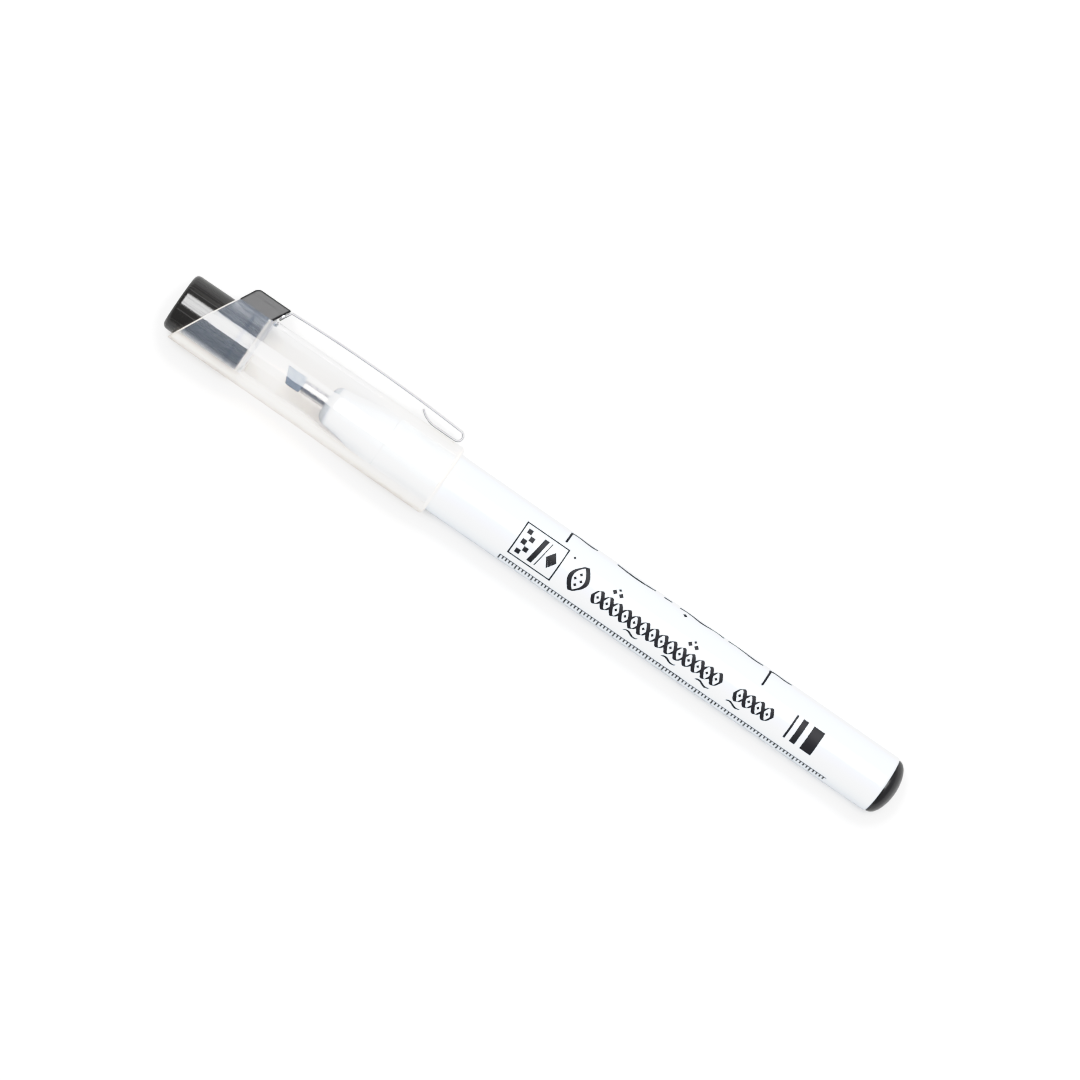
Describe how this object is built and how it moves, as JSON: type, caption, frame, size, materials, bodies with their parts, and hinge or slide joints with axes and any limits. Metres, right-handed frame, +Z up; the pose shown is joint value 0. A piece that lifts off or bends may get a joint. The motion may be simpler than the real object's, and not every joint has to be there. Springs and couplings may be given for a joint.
{
  "type": "calligraphy marker",
  "caption": "Capped calligraphy marker with a slanted chisel nib, a white round barrel, a translucent push-on cap cut on a slant and a steel pocket clip.",
  "frame": {"origin": "centre of the flat outer end of the cap, on the pen's axis", "axes": "+X along the pen's axis from the cap's end to the tail, +Y from the axis towards the pocket clip, +Z up as the pen lies with its clip to one side"},
  "size_m": [0.1404, 0.0154, 0.0126],
  "materials": {
    "barrel_plastic": "glossy white moulded plastic",
    "nose_plastic": "white moulded plastic",
    "ferrule_steel": "drawn bright steel",
    "nib_felt": "dense bonded fibre soaked with black ink",
    "core_fibre": "bundled fibre soaked with black ink",
    "core_film": "thin clear film",
    "tail_plastic": "black moulded plastic",
    "frosted_plastic": "milky translucent moulded plastic",
    "plug_plastic": "glossy black moulded plastic",
    "clip_steel": "bright spring steel strip"
  },
  "bodies": {
    "barrel": {"barrel": "barrel_plastic", "nose_section": "nose_plastic", "nib_ferrule": "ferrule_steel", "nib": "nib_felt", "ink_core": "core_fibre", "core_film": "core_film", "tail_plug": "tail_plastic"},
    "cap": {"cap_sleeve": "frosted_plastic", "cap_end_plug": "plug_plastic"},
    "clip": {"pocket_clip": "clip_steel"}
  },
  "joints": [
    {"name": "cap_slide", "type": "slide", "parent": "barrel", "child": "cap", "axis": [-1, 0, 0], "range_m": [0, 0.045]},
    {"name": "clip_flex", "type": "hinge", "parent": "cap", "child": "clip", "pos_m": [0.01619, 0.00847, 0], "axis": [0, 0, 1], "range_deg": [0, 4], "stiffness_Nm_per_rad": 0.3}
  ]
}
